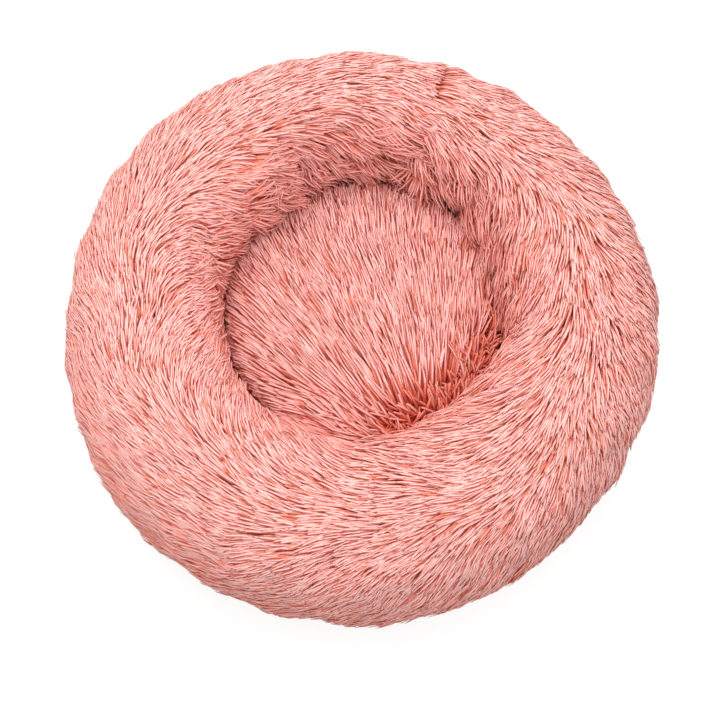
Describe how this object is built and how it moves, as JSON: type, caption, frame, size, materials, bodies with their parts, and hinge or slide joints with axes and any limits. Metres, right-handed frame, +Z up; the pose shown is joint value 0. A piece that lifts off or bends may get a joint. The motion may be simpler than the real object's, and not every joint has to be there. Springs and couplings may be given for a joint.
{
  "type": "donut pet bed",
  "caption": "Round plush donut bed for a cat or small dog: a stuffed long-pile fur ring round a crowned seat cushion, with a zipped base cover.",
  "frame": {"origin": "on the floor, under the middle of the bed's outline", "axes": "+Z up, -Y the front where the ring is widest, +X to the right as seen from the front; the zip runs along X"},
  "size_m": [0.6021, 0.59, 0.1943],
  "materials": {
    "pile": "matte",
    "seat_pile": "matte",
    "seam_tape": "matte",
    "base_cloth": "matte",
    "piping": "matte",
    "liner": "matte",
    "fibre": "matte",
    "zip_tape": "matte",
    "zip_teeth": "satin",
    "zip_metal": "satin"
  },
  "bodies": {
    "bed": {"bolster_cover_left": "pile", "bolster_cover_right": "pile", "seat_cover": "seat_pile", "seat_seam_tape": "seam_tape", "base_cloth_front": "base_cloth", "base_cloth_rear": "base_cloth", "base_piping": "piping", "ring_liner_top": "liner", "ring_liner_bottom": "liner", "ring_fill": "fibre", "pad_liner_top": "liner", "pad_liner_bottom": "liner", "pad_fill": "fibre", "zip_tape_front": "zip_tape", "zip_tape_rear": "zip_tape", "zip_teeth_front": "zip_teeth", "zip_teeth_rear": "zip_teeth", "zip_bottom_stop": "zip_metal", "zip_top_stop_front": "zip_metal", "zip_top_stop_rear": "zip_metal"},
    "zip_slider": {"zip_slider": "zip_metal"},
    "zip_pull": {"zip_pull": "zip_metal"}
  },
  "joints": [
    {"name": "zip_slide", "type": "slide", "parent": "bed", "child": "zip_slider", "axis": [-1, 0, 0], "range_m": [0, 0.1846], "deforming": ["zip_teeth_front", "zip_teeth_rear"]},
    {"name": "pull_flip", "type": "hinge", "parent": "zip_slider", "child": "zip_pull", "pos_m": [0.0923, 0.031, 0.0032], "axis": [0, -1, 0], "range_deg": [0, 180]}
  ]
}
